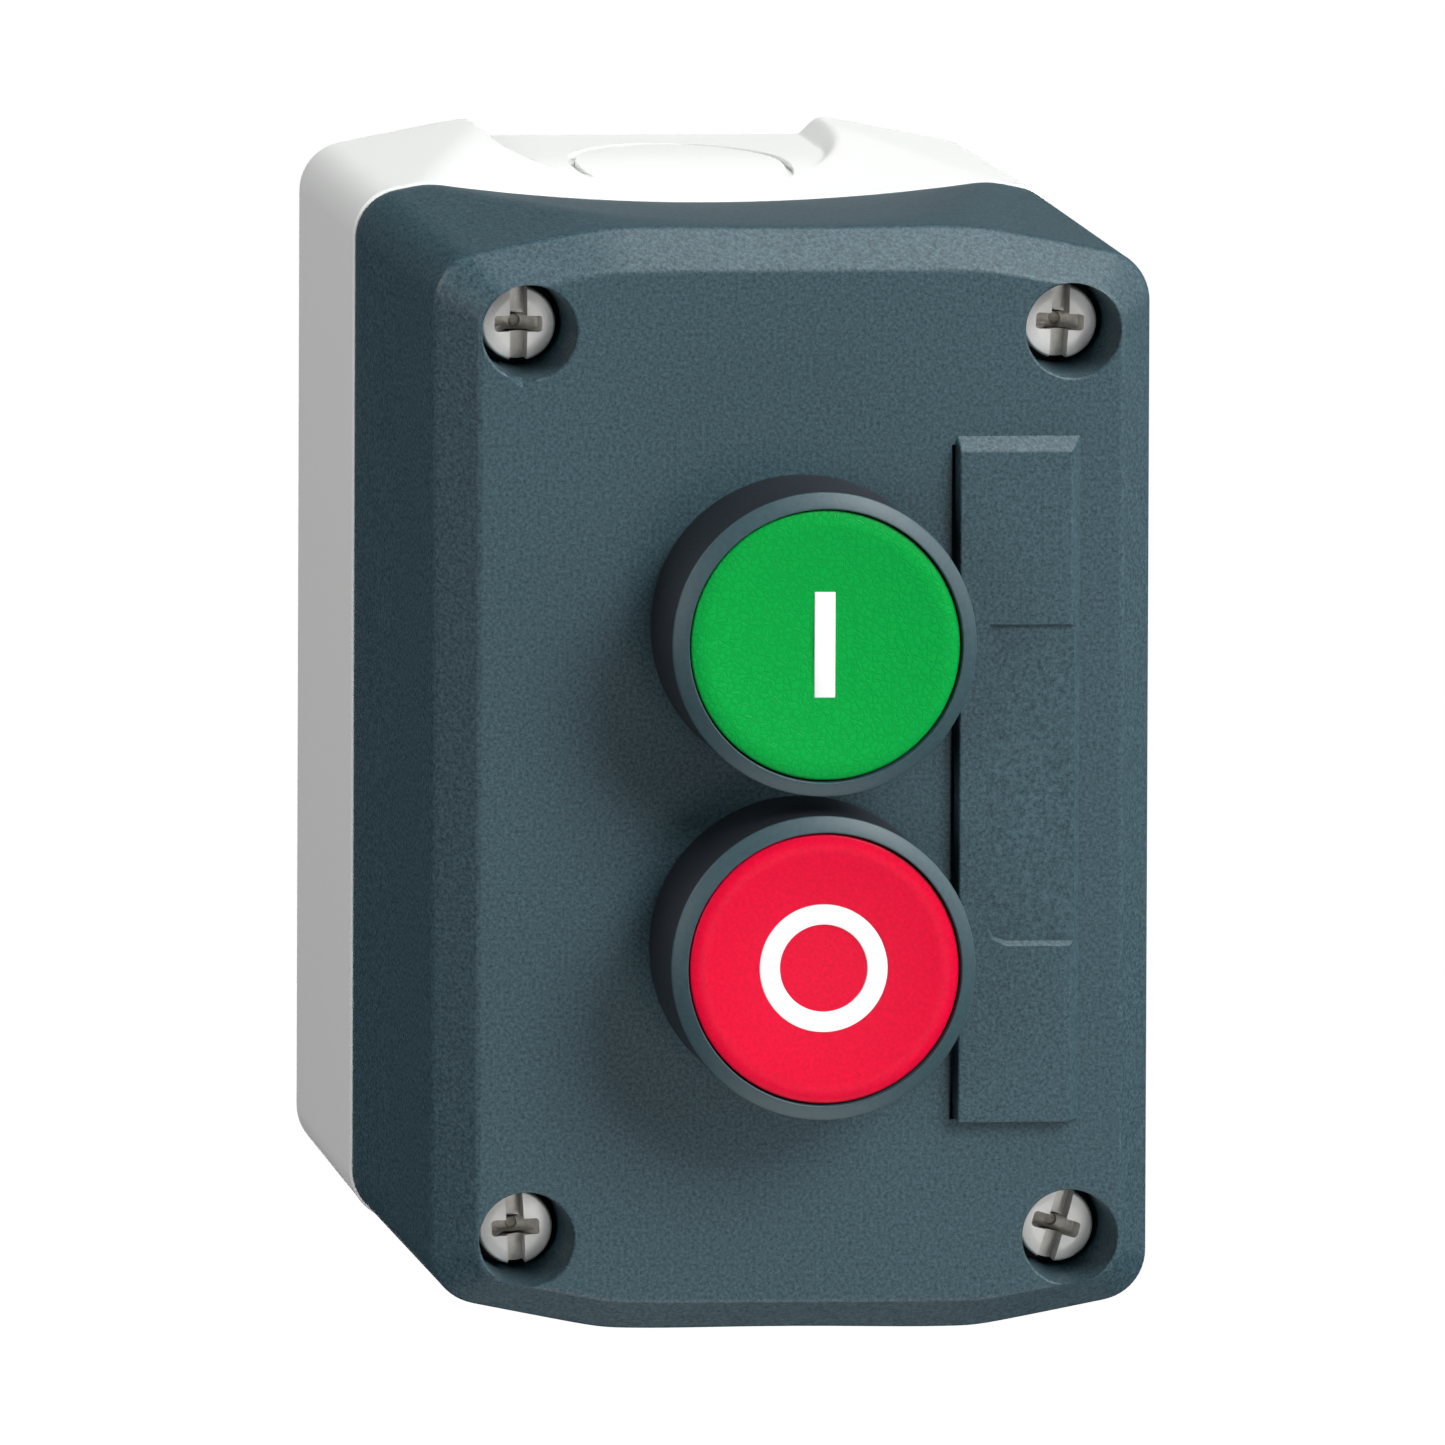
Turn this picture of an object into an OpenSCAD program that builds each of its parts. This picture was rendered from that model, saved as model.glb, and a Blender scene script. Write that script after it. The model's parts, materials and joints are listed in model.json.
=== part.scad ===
// Surface-mounted control station with two spring-return push buttons, start above stop.
// Every piece is drawn with x to the right, y up and z forward from the wall, then stood up by stand().

/* [Enclosure] */
// Width across the joint line between base and cover
box_w = 68; // [67:0.5:70]
// Height over the crown of the base
box_h = 104.6; // [104:0.2:107]
// Depth of the base, from the wall to the joint line
base_d = 26.2; // [25.8:0.2:27.2]
// Depth of the cover, from the joint line to the front face
cover_d = 35.8; // [35:0.2:36.6]
// Thickness of the moulded walls
wall = 2.4; // [2.2:0.1:2.6]
// How far the top and bottom edges dip at the joint line
dip = 3.9; // [3.7:0.1:4.1]

/* [Fixing to the wall] */
// Spacing of the wall screws across
fix_x = 38; // [36:1:39]
// Spacing of the wall screws upright
fix_y = 64; // [63:1:66]
// Diameter of the wall screw holes
fix_d = 4.5; // [4:0.1:5]
// Diameter of the cable entry knock-outs
entry_d = 21.4; // [20.4:0.2:22]

/* [Buttons] */
// Distance between the two button centres
pitch = 30; // [30:0.5:31]
// Diameter of each button hole in the cover
hole_d = 22.4; // [22.4:0.1:22.8]
// Outer diameter of the bezel
bezel_d = 28.24; // [28:0.02:28.6]
// Height of the bezel over the front face
bezel_h = 9.4; // [9.2:0.1:10.2]
// Diameter of the button cap
cap_d = 25; // [24.6:0.1:25.1]
// Travel of the button when it is pressed
travel = 4; // [3.5:0.1:4]

/* [Contact blocks] */
// Length of the contact block housing
block_l = 42; // [41.6:0.2:43]
// Height of the contact block housing
block_h = 12; // [11.8:0.1:13]

/* [Hidden] */
$fn = 72;
eps = 0.01;

// Enclosure
front = base_d + cover_d;
half_w = box_w / 2;
half_h = box_h / 2;
back_draft = 0.2;
front_draft = 0.45;
front_drop = 0.6;
rim_drop = 0.2;
flat_half = 17.4;
shoulder = 11.3;
corner_r = 4.8;
bevel = 3.5;
bevel_corner = 1.6;
dip_r = 190;
dip_front_rise = 3.7;
front_wall = 3.2;
inner_roof = 4.9;

// Entry pockets and knock-outs in the top and bottom walls
pocket_floor = half_h - 1.9;
pocket_r = 15.5;
pocket_end = 8;
pocket_flare = 3;
entry_z = 15.75;
groove_w = 0.7;
groove_depth = 0.8;
web = 0.6;

// Cover screws, their towers and the gasket
screw_x = 25.4;
screw_y = 42.4;
tower_r = 6.2;
recess_r = 4.4;
seat_z = front - 8;
washer_t = 0.7;
screw_head_r = 3.5;
screw_head_t = 2.6;
screw_head_edge = 0.3;
screw_r = 2;
screw_tip = base_d - 12.5;
shank_gap = 0.2;
thread_grip = 0.02;
gasket_in = 0.8;
gasket_w = 1;
gasket_t = 1.2;
fix_boss_r = 4.5;
fix_boss_t = 1.5;

// Driver slots, as shares of the screw head's radius
slot_share = 0.23;
arm_share = 0.63;
arm_w_share = 0.21;
slot_t = 1.1;
arm_t = 1.4;
pit_t = 1.9;

// Raised label strip beside the buttons
strip_x0 = 14.5;
strip_x1 = 26.1;
strip_y0 = -31.3;
strip_y1 = 32.6;
strip_t = 1.3;
strip_chamfer = 1.15;
step_t = 0.5;
step_y0 = -14.6;
step_y1 = 15.1;
step_x = 17.2;
step_corner = 1.5;
strip_groove = [0.5, 0.8, 22];

// Button head, as heights over the front face
bezel_r = bezel_d / 2;
bezel_top = front + bezel_h;
bezel_edge = 0.5;
barrel_r = hole_d / 2 - 0.1;
bore_r = 8.9;
cup_r = 12.75;
cup_floor = front + 2.4;
barrel_end = front - 14;
shelf_top = front - 8;
shelf_t = 2.5;
guide_r = 4.5;
skirt_t = 0.7;
skirt_gap = 0.05;
seal_t = 0.8;
cap_t = 2.6;
cap_top = bezel_top - 0.2;
cap_edge = 0.4;
stem_r = 4.42;
stem_end = 34;
flange_r = 8.2;
flange_t = 1.8;
clip_t = 1;
clip_gap = 0.1;
clip_r = 6.8;
nut_t = 5;
nut_r = 13.2;
nut_flange_r = 14.4;
nut_flange_t = 1.2;
nut_notch_w = 2;
nut_notch_r = 12.5;
symbol_t = 0.8;
bar_w = 1.94;
bar_h = 9.8;
ring_r = 5.95;
ring_hole_r = 4.05;

// Contact block, as heights over the wall
block_z = 4;
floor_z = block_z + 2;
block_top = block_z + 22;
chamber_x = 8.5;
chamber_y = block_h / 2 - 1.4;
well_x0 = 9.9;
well_x1 = block_l / 2 - 1.4;
strip_z = 13;
strip_thick = 1;
contact_x = 5.2;
tip_r = 1.4;
tip_t = 0.7;
moving_tip_t = 0.5;
bridge_x = 6.8;
bridge_y = 2;
bridge_t = 0.9;
bridge_ratio = 0.65;
open_gap = travel * bridge_ratio + 0.1;
closed_gap = 0.1;
terminal_x = 14.8;
terminal_y = 2.4;
ear_x = 24.4;
ear_t = 2.5;
ear_r = 3;
ear_y = 4;
boss_spare = 0.6;
block_screw_r = 1.25;
block_head_r = 2.7;
block_head_t = 1.8;
block_screw_tip = 1.4;
terminal_screw_r = 1.75;
terminal_head_r = 3.3;
terminal_head_t = 2.4;
clamp_size = 3.9;
lid_t = 2;
head_r = 3.6;
head_top = stem_end - 0.3;
carrier_x = 3;
carrier_y = 3.8;

module stand() {
    rotate([90, 0, 0]) children();
}

module at_button(side) {
    stand() translate([0, side * pitch / 2, 0]) children();
}

module rod(r, z0, z1, x = 0, y = 0) {
    translate([x, y, z0]) cylinder(r = r, h = z1 - z0);
}

module plate(x0, x1, y0, y1, z0, z1) {
    translate([x0, y0, z0]) cube([x1 - x0, y1 - y0, z1 - z0]);
}

module mirrored_x() {
    children();
    mirror([1, 0, 0]) children();
}

module mirrored_y() {
    children();
    mirror([0, 1, 0]) children();
}

module at_corners(x, y) {
    for (sx = [-1, 1]) for (sy = [-1, 1]) translate([sx * x, sy * y, 0]) children();
}

// One quarter of the outline: a round corner, then a shoulder that climbs to the flat crown.
function quarter(w, h, r) =
    let (cx = w - r, cy = h - (cx - flat_half) * tan(shoulder) - r / cos(shoulder), n = 8)
    concat([for (i = [0:n]) let (a = (90 - shoulder) * i / n) [cx + r * cos(a), cy + r * sin(a)]],
        [[flat_half, h]]);

function turned(points) = [for (i = [len(points) - 1:-1:0]) [-points[i][0], points[i][1]]];

function half(w, h, r) = concat(quarter(w, h, r), turned(quarter(w, h, r)));

module outline(w, h, r) {
    polygon(concat(half(w, h, r), [for (p = half(w, h, r)) -p]));
}

module slice(w, h, r, z) {
    translate([0, 0, z]) linear_extrude(eps) outline(w, h, r);
}

// The shallow dish along the joint line: two cones whose widest circle lies in the joint plane.
module dish(grow) {
    mirrored_y() translate([0, half_h - dip + dip_r, 0]) {
        translate([0, 0, -eps]) cylinder(r1 = dip_r - dip + grow, r2 = dip_r + grow,
            h = base_d + eps, $fn = 360);
        translate([0, 0, base_d - eps]) cylinder(r1 = dip_r + grow,
            r2 = dip_r - dip_front_rise + grow, h = cover_d + 2 * eps, $fn = 360);
    }
}

module entry_pocket() {
    mirrored_y() {
        translate([0, 0, pocket_end]) rotate([-90, 0, 0]) translate([0, 0, pocket_floor])
            cylinder(r1 = pocket_r, r2 = pocket_r + pocket_flare, h = pocket_flare);
        translate([0, 0, -eps]) linear_extrude(pocket_end + eps)
            polygon([[-pocket_r, pocket_floor], [pocket_r, pocket_floor],
                [pocket_r + pocket_flare, pocket_floor + pocket_flare],
                [-pocket_r - pocket_flare, pocket_floor + pocket_flare]]);
    }
}

module entry_ring(y0, y1) {
    translate([0, 0, entry_z]) rotate([-90, 0, 0]) translate([0, 0, y0]) difference() {
        cylinder(d = entry_d, h = y1 - y0);
        translate([0, 0, -eps]) cylinder(d = entry_d - 2 * groove_w, h = y1 - y0 + 2 * eps);
    }
}

module knock_out_grooves() {
    groove_y = pocket_floor - groove_depth;
    mirrored_y() {
        entry_ring(groove_y, half_h);
        difference() {
            entry_ring(half_h - inner_roof - 3, groove_y - web);
            dish(web + 0.2);
        }
    }
}

module base_cavity() {
    difference() {
        translate([0, 0, wall]) linear_extrude(base_d)
            outline(half_w - wall - back_draft, half_h - inner_roof, corner_r);
        dish(wall);
    }
}

module rim_band(inset, z0, z1) {
    difference() {
        translate([0, 0, z0]) linear_extrude(z1 - z0)
            outline(half_w - inset - 0.05, half_h - 1 - inset, corner_r - inset);
        dish(inset + 0.1);
    }
}

module gasket_band(slack) {
    z0 = base_d - gasket_t;
    difference() {
        rim_band(gasket_in - slack, z0, base_d + eps * (slack > 0 ? 1 : 0));
        translate([0, 0, -eps]) rim_band(gasket_in + gasket_w + slack, z0 - eps, base_d + 1);
    }
}

module base_shape() {
    difference() {
        union() {
            difference() {
                hull() {
                    slice(half_w - back_draft, half_h, corner_r, 0);
                    slice(half_w, half_h, corner_r, base_d - eps);
                }
                dish(0);
                entry_pocket();
                base_cavity();
                knock_out_grooves();
            }
            intersection() {
                at_corners(screw_x, screw_y) rod(tower_r, wall - 0.5, base_d);
                translate([0, 0, wall / 2]) linear_extrude(base_d)
                    outline(half_w - 1.2, half_h - 3.4, corner_r);
            }
            at_corners(fix_x / 2, fix_y / 2) rod(fix_boss_r, wall - 0.5, wall + fix_boss_t);
            for (side = [-1, 1]) mirrored_x() translate([ear_x, side * pitch / 2, 0])
                plate(-ear_r - boss_spare, ear_r + boss_spare, -ear_y - boss_spare,
                    ear_y + boss_spare, wall - 0.5, block_z);
        }
        at_corners(screw_x, screw_y) rod(screw_r + thread_grip, screw_tip - 2, base_d + 1);
        at_corners(fix_x / 2, fix_y / 2) rod(fix_d / 2, -1, wall + fix_boss_t + 1);
        for (side = [-1, 1]) mirrored_x() rod(block_screw_r + thread_grip,
            block_screw_tip - 0.2, block_z + 1, ear_x, side * pitch / 2);
        gasket_band(0.02);
    }
}

module cover_blank() {
    difference() {
        hull() {
            slice(half_w, half_h - rim_drop, corner_r, base_d);
            slice(half_w - front_draft, half_h - front_drop, corner_r, front - bevel);
            slice(half_w - front_draft - bevel, half_h - front_drop - bevel,
                corner_r - bevel_corner, front - eps);
        }
        dish(0);
    }
}

module cover_cavity() {
    difference() {
        translate([0, 0, base_d - 1]) linear_extrude(cover_d - front_wall + 1)
            outline(half_w - wall - front_draft, half_h - front_drop - wall, corner_r - 0.6);
        dish(wall);
    }
}

// Raised strip for a write-on label, with a shallow step between the two buttons.
module label_strip() {
    difference() {
        hull() {
            plate(strip_x0, strip_x1, strip_y0, strip_y1, front - 0.5, front);
            plate(strip_x0, strip_x1 - strip_chamfer, strip_y0, strip_y1 - strip_chamfer,
                front + strip_t - eps, front + strip_t);
        }
        translate([0, 0, front + strip_t - step_t]) linear_extrude(1)
            polygon([[step_x, step_y1], [strip_x1 + 4, step_y1], [strip_x1 + 4, step_y0],
                [step_x + step_corner, step_y0], [step_x, step_y0 + step_corner * 2 / 3]]);
    }
}

module cover_shape() {
    difference() {
        union() {
            difference() {
                cover_blank();
                cover_cavity();
            }
            intersection() {
                at_corners(screw_x, screw_y) rod(tower_r, base_d, front - 1);
                cover_blank();
            }
            label_strip();
        }
        for (side = [-1, 1]) rod(hole_d / 2, base_d, front + 5, 0, side * pitch / 2);
        at_corners(screw_x, screw_y) {
            rod(recess_r, seat_z, front + 1);
            rod(screw_r + shank_gap, base_d - 1, front);
        }
        plate(strip_x0 - strip_groove[0], strip_x0, strip_y0, strip_groove[2],
            front - strip_groove[1], front + 1);
    }
}

// A full-width slot with two short cross arms and a pit in the middle.
module driver_slots(z, r) {
    slot = r * slot_share;
    arm = r * arm_share;
    arm_w = r * arm_w_share;
    plate(-slot, slot, -r - 1, r + 1, z - slot_t, z + 1);
    plate(-arm, arm, -arm_w, arm_w, z - arm_t, z + 1);
    rod(r / 3, z - pit_t, z + 1);
}

module cover_screw() {
    top = seat_z + washer_t + screw_head_t;
    difference() {
        union() {
            rod(screw_r, screw_tip, seat_z + washer_t + 0.1);
            rod(screw_head_r, seat_z + washer_t, top - screw_head_edge);
            translate([0, 0, top - screw_head_edge]) cylinder(r1 = screw_head_r,
                r2 = screw_head_r - screw_head_edge, h = screw_head_edge);
        }
        driver_slots(top, screw_head_r);
    }
}

module washer(z, t, r_in, r_out) {
    difference() {
        rod(r_out, z, z + t);
        rod(r_in, z - 1, z + t + 1);
    }
}

// A coil spring along z: a six-sided wire swept round a helix.
module coil(mean_r, wire_r, turns, z0, z1) {
    sides = 6;
    steps = 14 * turns;
    rise = z1 - z0 - 2 * wire_r;
    ring = [for (i = [0:steps]) for (k = [0:sides - 1])
        let (a = 360 * turns * i / steps, b = 360 * k / sides, r = mean_r + wire_r * cos(b))
        [r * cos(a), r * sin(a), z0 + wire_r + rise * i / steps + wire_r * sin(b)]];
    skin = [for (i = [0:steps - 1]) for (k = [0:sides - 1])
        let (n = (k + 1) % sides)
        [i * sides + k, i * sides + n, (i + 1) * sides + n, (i + 1) * sides + k]];
    ends = [[for (k = [sides - 1:-1:0]) k], [for (k = [0:sides - 1]) steps * sides + k]];
    polyhedron(points = ring, faces = concat(skin, ends), convexity = 10);
}

module bezel_shape() {
    rotate_extrude() polygon([[bore_r, barrel_end], [barrel_r, barrel_end],
        [barrel_r, front + seal_t], [bezel_r - skirt_t, front + seal_t],
        [bezel_r - skirt_t, front + skirt_gap], [bezel_r, front + skirt_gap],
        [bezel_r, bezel_top - bezel_edge], [bezel_r - bezel_edge, bezel_top],
        [cup_r, bezel_top], [cup_r, cup_floor], [bore_r, cup_floor], [bore_r, shelf_top],
        [guide_r, shelf_top], [guide_r, shelf_top - shelf_t], [bore_r, shelf_top - shelf_t]]);
}

module nut_shape() {
    nut_z = front - front_wall - nut_t;
    difference() {
        union() {
            rod(nut_r, nut_z, nut_z + nut_t - nut_flange_t);
            rod(nut_flange_r, nut_z + nut_t - nut_flange_t, nut_z + nut_t);
        }
        rod(barrel_r + 0.02, nut_z - 1, nut_z + nut_t + 1);
        for (a = [0:30:330]) rotate(a)
            plate(nut_notch_r, nut_r + 1, -nut_notch_w / 2, nut_notch_w / 2, nut_z - 1,
                nut_z + nut_t / 2);
    }
}

module symbol_shape(kind) {
    z0 = cap_top - symbol_t;
    if (kind == "bar") plate(-bar_w / 2, bar_w / 2, -bar_h / 2, bar_h / 2, z0, cap_top);
    else washer(z0, symbol_t, ring_hole_r, ring_r);
}

module cap_shape(kind) {
    difference() {
        union() {
            rod(cap_d / 2, cap_top - cap_t, cap_top - cap_edge);
            translate([0, 0, cap_top - cap_edge])
                cylinder(r1 = cap_d / 2, r2 = cap_d / 2 - cap_edge, h = cap_edge);
        }
        symbol_shape(kind);
    }
}

module plunger_shape() {
    top = cap_top - cap_t;
    clip_z = shelf_top - shelf_t - clip_gap;
    difference() {
        union() {
            rod(stem_r, stem_end, top);
            rod(flange_r, top - flange_t, top);
        }
        washer(clip_z - clip_t, clip_t, stem_r - 0.5, stem_r + 1);
    }
}

// Contact block housing: a middle chamber for the moving bridge and a terminal well at each end.
module housing_shape(closing) {
    difference() {
        union() {
            plate(-block_l / 2, block_l / 2, -block_h / 2, block_h / 2, block_z, block_top);
            plate(-ear_x - ear_r, ear_x + ear_r, -ear_y, ear_y, block_z, block_z + ear_t);
        }
        difference() {
            plate(-chamber_x, chamber_x, -chamber_y, chamber_y, floor_z, block_top + 1);
            if (!closing) difference() {
                plate(-3.3, 3.3, -chamber_y - 1, chamber_y + 1, strip_z + 1.5, strip_z + 2.5);
                rod(2.2, strip_z, strip_z + 4);
            }
        }
        mirrored_x() {
            plate(well_x0, well_x1, -chamber_y, chamber_y, strip_z, block_top + 1);
            plate(chamber_x - 1, well_x0 + 1, -terminal_y - 0.05, terminal_y + 0.05, strip_z,
                strip_z + strip_thick + 0.05);
            plate(well_x1 - 1, block_l, -2.6, 2.6, strip_z + strip_thick, strip_z + 5.6);
            rod(2.1, floor_z, strip_z + 1, terminal_x);
            rod(1.7, 0, block_top + 1, ear_x);
        }
    }
}

module lid_shape() {
    difference() {
        union() {
            plate(-chamber_x - 1, chamber_x + 1, -block_h / 2, block_h / 2, block_top,
                block_top + lid_t);
            plate(-chamber_x + 0.1, chamber_x - 0.1, -chamber_y + 0.1, chamber_y - 0.1,
                block_top - 1, block_top + eps);
        }
        rod(head_r + 0.1, block_top - 2, block_top + lid_t + 1);
    }
}

closing_tip_z = strip_z + strip_thick + tip_t + open_gap;
closing_bridge_z = closing_tip_z + moving_tip_t;
opening_bridge_z = strip_z - tip_t - closed_gap - moving_tip_t - bridge_t;
window_top = closing_bridge_z + bridge_t + 3.7;
carrier_top = block_top - 1.4;
spring_seat = 15.5;
opening_rest = opening_bridge_z + bridge_t + travel * (1 - bridge_ratio) + 0.1;
collar_z = carrier_top - 2;

module carrier_shape(closing) {
    rod(head_r, carrier_top - eps, head_top);
    if (closing) difference() {
        plate(-carrier_x, carrier_x, -carrier_y, carrier_y, 10.5, carrier_top);
        plate(-carrier_x - 1, carrier_x + 1, -bridge_y - 0.2, bridge_y + 0.2,
            closing_bridge_z - 0.05, window_top);
        rod(2.4, 10, spring_seat);
    }
    else {
        rod(1.9, opening_rest, collar_z + 1);
        rod(3.9, collar_z, carrier_top);
    }
}

module block_spring_shape(closing) {
    if (closing) coil(1.8, 0.3, 6, floor_z, spring_seat);
    else coil(2.6, 0.3, 4, strip_z + 2.5, collar_z);
}

module contact_spring_shape(closing) {
    if (closing) coil(1.4, 0.25, 3, closing_bridge_z + bridge_t, window_top);
    else coil(1.8, 0.3, 3, floor_z, opening_bridge_z);
}

module bridge_shape(closing) {
    z = closing ? closing_bridge_z : opening_bridge_z;
    tip_z = closing ? z - moving_tip_t : z + bridge_t;
    plate(-bridge_x, bridge_x, -bridge_y, bridge_y, z, z + bridge_t);
    mirrored_x() rod(tip_r, tip_z - eps, tip_z + moving_tip_t + eps, contact_x);
}

module terminals_shape(closing) {
    tip_z = closing ? strip_z + strip_thick : strip_z - tip_t;
    mirrored_x() difference() {
        union() {
            plate(3.6, well_x1 - 0.2, -terminal_y, terminal_y, strip_z, strip_z + strip_thick);
            plate(well_x0 + 0.2, well_x1 - 0.2, -chamber_y + 0.2, chamber_y - 0.2, strip_z,
                strip_z + strip_thick);
            rod(tip_r, tip_z - eps, tip_z + tip_t + eps, contact_x);
        }
        rod(terminal_screw_r + thread_grip, strip_z - 1, strip_z + 2, terminal_x);
    }
}

clamp_z = strip_z + 3.9;
clamp_t = 1.3;

module terminal_screws_shape() {
    mirrored_x() translate([terminal_x, 0, 0]) difference() {
        union() {
            rod(terminal_screw_r, floor_z + 2, clamp_z + clamp_t + 0.1);
            rod(terminal_head_r, clamp_z + clamp_t, clamp_z + clamp_t + terminal_head_t);
        }
        driver_slots(clamp_z + clamp_t + terminal_head_t, terminal_head_r);
    }
}

module wire_clamps_shape() {
    mirrored_x() translate([terminal_x, 0, 0]) difference() {
        plate(-clamp_size, clamp_size, -clamp_size, clamp_size, clamp_z, clamp_z + clamp_t);
        rod(terminal_screw_r + 0.1, clamp_z - 1, clamp_z + clamp_t + 1);
    }
}

module block_screws_shape() {
    top = block_z + ear_t;
    for (side = [-1, 1]) mirrored_x() translate([ear_x, side * pitch / 2, 0]) difference() {
        union() {
            rod(block_screw_r, block_screw_tip, top + 0.1);
            rod(block_head_r, top, top + block_head_t);
        }
        driver_slots(top + block_head_t, block_head_r);
    }
}

module base() { color("#d9dad8") stand() base_shape(); }
module cover() { color("#43525a") stand() cover_shape(); }
module cover_gasket() { color("#22262a") stand() gasket_band(0); }
module cover_screws() { color("#c9ccd0") stand() at_corners(screw_x, screw_y) cover_screw(); }
module screw_washers() {
    color("#1f2326") stand() at_corners(screw_x, screw_y)
        washer(seat_z, washer_t, screw_r + 0.15, recess_r - 0.3);
}
module block_screws() { color("#b9bcc0") stand() block_screws_shape(); }

module bezel(side) { color("#3b4a52") at_button(side) bezel_shape(); }
module bezel_gasket(side) {
    color("#1f2326") at_button(side)
        washer(front, seal_t, barrel_r + 0.1, bezel_r - skirt_t - 0.1);
}
module collar_nut(side) { color("#2b3034") at_button(side) nut_shape(); }
module cap(side, kind, tint) { color(tint) at_button(side) cap_shape(kind); }
module symbol(side, kind) { color("white") at_button(side) symbol_shape(kind); }
module plunger(side) { color("#e6e2d6") at_button(side) plunger_shape(); }
module clip(side) {
    color("#8f9499") at_button(side)
        washer(shelf_top - shelf_t - clip_gap - clip_t, clip_t, stem_r - 0.5, clip_r);
}
module return_spring(side) {
    color("#b9bcc0") at_button(side) coil(6.4, 0.45, 5, shelf_top, cap_top - cap_t - flange_t);
}
module block_housing(side, closing) {
    color("#2d3236") at_button(side) housing_shape(closing);
}
module block_lid(side) { color("#3c4247") at_button(side) lid_shape(); }
module block_carrier(side, closing, tint) { color(tint) at_button(side) carrier_shape(closing); }
module block_spring(side, closing) {
    color("#b9bcc0") at_button(side) block_spring_shape(closing);
}
module bridge(side, closing) { color("#c8b37a") at_button(side) bridge_shape(closing); }
module contact_spring(side, closing) {
    color("#b9bcc0") at_button(side) contact_spring_shape(closing);
}
module terminals(side, closing) { color("#c8b37a") at_button(side) terminals_shape(closing); }
module terminal_screws(side) { color("#b9bcc0") at_button(side) terminal_screws_shape(); }
module wire_clamps(side) { color("#a7abb0") at_button(side) wire_clamps_shape(); }

base();
cover();
cover_gasket();
cover_screws();
screw_washers();
block_screws();

bezel(1);  // start_bezel
bezel_gasket(1);  // start_bezel_gasket
collar_nut(1);  // start_collar_nut
cap(1, "bar", "#12a045");  // start_cap
symbol(1, "bar");  // start_symbol
plunger(1);  // start_plunger
clip(1);  // start_clip
return_spring(1);  // start_return_spring
block_housing(1, true);  // start_block_housing
block_lid(1);  // start_block_lid
block_carrier(1, true, "#2f9e57");  // start_block_carrier
block_spring(1, true);  // start_block_spring
bridge(1, true);  // start_bridge
contact_spring(1, true);  // start_contact_spring
terminals(1, true);  // start_terminals
terminal_screws(1);  // start_terminal_screws
wire_clamps(1);  // start_wire_clamps

bezel(-1);  // stop_bezel
bezel_gasket(-1);  // stop_bezel_gasket
collar_nut(-1);  // stop_collar_nut
cap(-1, "ring", "#e01c40");  // stop_cap
symbol(-1, "ring");  // stop_symbol
plunger(-1);  // stop_plunger
clip(-1);  // stop_clip
return_spring(-1);  // stop_return_spring
block_housing(-1, false);  // stop_block_housing
block_lid(-1);  // stop_block_lid
block_carrier(-1, false, "#b8323a");  // stop_block_carrier
block_spring(-1, false);  // stop_block_spring
bridge(-1, false);  // stop_bridge
contact_spring(-1, false);  // stop_contact_spring
terminals(-1, false);  // stop_terminals
terminal_screws(-1);  // stop_terminal_screws
wire_clamps(-1);  // stop_wire_clamps
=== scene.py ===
"""Looks for the two-button control station: shells, heads, caps and screws, finishes, light and camera."""
import json
import math

import bmesh
import bpy
from mathutils import Matrix, Vector


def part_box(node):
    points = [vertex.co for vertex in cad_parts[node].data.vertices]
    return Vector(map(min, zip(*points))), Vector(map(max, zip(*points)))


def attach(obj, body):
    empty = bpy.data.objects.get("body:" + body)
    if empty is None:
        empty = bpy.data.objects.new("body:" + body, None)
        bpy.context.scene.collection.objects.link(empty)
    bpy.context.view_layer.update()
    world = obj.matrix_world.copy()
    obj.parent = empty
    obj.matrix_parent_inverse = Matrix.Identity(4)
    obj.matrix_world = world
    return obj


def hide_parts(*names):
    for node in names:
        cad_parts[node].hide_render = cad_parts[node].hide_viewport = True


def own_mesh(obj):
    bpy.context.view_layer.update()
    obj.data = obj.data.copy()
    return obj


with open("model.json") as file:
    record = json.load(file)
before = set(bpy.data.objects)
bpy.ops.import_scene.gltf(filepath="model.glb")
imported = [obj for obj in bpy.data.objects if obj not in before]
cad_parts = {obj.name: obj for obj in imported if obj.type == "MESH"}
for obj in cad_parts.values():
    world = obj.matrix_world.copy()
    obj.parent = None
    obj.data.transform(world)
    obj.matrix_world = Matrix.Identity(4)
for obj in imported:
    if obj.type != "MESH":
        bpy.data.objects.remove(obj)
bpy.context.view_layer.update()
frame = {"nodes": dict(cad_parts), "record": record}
MM = 0.001
SIDES = {"start": 1, "stop": -1}


# ---------------------------------------------------------------- sizes, in mm
def low(node):
    """The lowest corner of a piece's box in the frame."""
    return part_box(node)[0] / MM


def high(node):
    """The highest corner of a piece's box in the frame."""
    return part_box(node)[1] / MM


HALF_W = high("base").x
HALF_H = high("base").z
JOINT = -low("base").y
FRONT = -high("start_bezel_gasket").y
BEZEL_R = (high("start_bezel").x - low("start_bezel").x) / 2
BEZEL_TOP = -low("start_bezel").y
CAP_R = high("start_cap").x
CAP_TOP = -low("start_cap").y
CAP_BACK = -high("start_cap").y
BUTTON_UP = (high("start_cap").z + low("start_cap").z) / 2
SCREW_TOP = -low("cover_screws").y
SEAT = -high("screw_washers").y
SCREW_X = 25.4
SCREW_UP = 42.4
WALL_HOLE_X = 19
WALL_HOLE_UP = 32
EAR_X = 24.4
TOWER_R = 6.0
HEAD_HOLE_R = 11.2

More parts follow.
